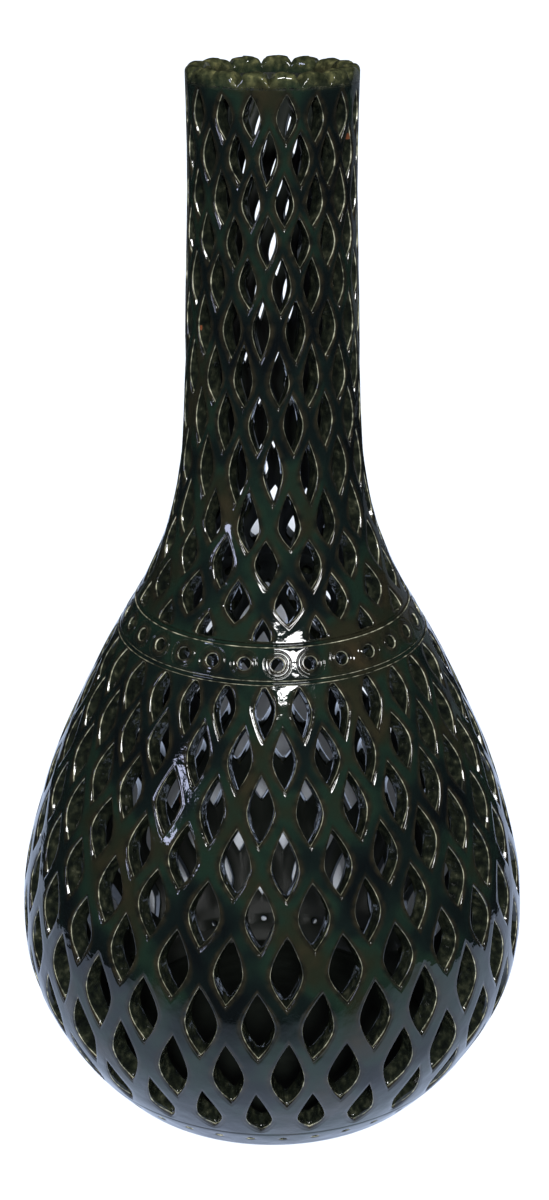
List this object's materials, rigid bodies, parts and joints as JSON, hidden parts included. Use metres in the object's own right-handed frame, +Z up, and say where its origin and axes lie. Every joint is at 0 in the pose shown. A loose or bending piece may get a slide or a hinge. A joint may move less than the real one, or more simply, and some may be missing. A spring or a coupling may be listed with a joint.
{
  "type": "openwork bottle vase",
  "caption": "Tall bottle-shaped openwork clay vase: round belly, slim neck, scalloped rim, leaf-shaped openings in staggered rows and a stamped ring-and-dot shoulder band.",
  "frame": {"origin": "centre of the flat underside, on the surface the vase stands on", "axes": "+Z up along the vase's axis; -Y towards the viewer; +X to the viewer's right"},
  "size_m": [0.2309, 0.231, 0.457],
  "materials": {
    "dark_green_glaze": "glossy near-black bottle-green lead glaze over red clay, olive where it runs thin on edges",
    "bare_red_clay": "unglazed low-fired red earthenware, matte and slightly gritty"
  },
  "bodies": {
    "root": {"floor_slab": "bare_red_clay", "base_band": "dark_green_glaze", "lower_belly": "dark_green_glaze", "upper_belly": "dark_green_glaze", "shoulder_band": "dark_green_glaze", "flared_shoulder": "dark_green_glaze", "neck_tube": "dark_green_glaze", "scalloped_rim": "dark_green_glaze"}
  },
  "joints": []
}
